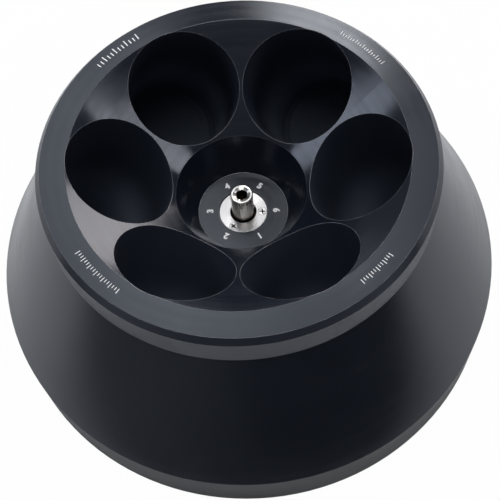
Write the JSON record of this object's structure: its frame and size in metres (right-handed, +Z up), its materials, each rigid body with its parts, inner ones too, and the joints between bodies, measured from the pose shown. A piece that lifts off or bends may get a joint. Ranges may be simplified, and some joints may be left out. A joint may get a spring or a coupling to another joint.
{
  "type": "fixed angle rotor",
  "caption": "Fixed angle centrifuge rotor: a dark conical body with slanted bottle bores round a steel hub ring and a captive hexagon socket clamp screw.",
  "frame": {"origin": "centre of the base plane, on the rotor's axis of rotation", "axes": "+Z up along the axis of rotation; +X towards the bottle bore marked 6"},
  "size_m": [0.293, 0.293, 0.132],
  "materials": {
    "black_anodised": "satin black anodised",
    "stainless": "turned stainless steel",
    "tool_steel": "ground hardened steel",
    "black_screw": "blackened steel",
    "nickel": "nickel plated magnet"
  },
  "bodies": {
    "rotor": {"rotor_body": "black_anodised", "hub_sleeve": "tool_steel", "retaining_ring": "stainless", "ring_screw_1": "stainless", "ring_screw_2": "stainless", "ring_screw_3": "stainless", "hub_screw_1": "black_screw", "hub_screw_2": "black_screw", "hub_screw_3": "black_screw", "code_magnet_1": "nickel", "code_magnet_2": "nickel"},
    "lift_washer": {"thrust_washer": "tool_steel"},
    "clamp": {"clamp_screw": "stainless", "washer_snap_ring": "tool_steel"}
  },
  "joints": [
    {"name": "clamp_lift", "type": "slide", "parent": "rotor", "child": "lift_washer", "axis": [0, 0, 1], "range_m": [0, 0.0016]},
    {"name": "clamp_turn", "type": "hinge", "parent": "lift_washer", "child": "clamp", "pos_m": [0, 0, 0.085], "axis": [0, 0, 1], "continuous": true}
  ]
}
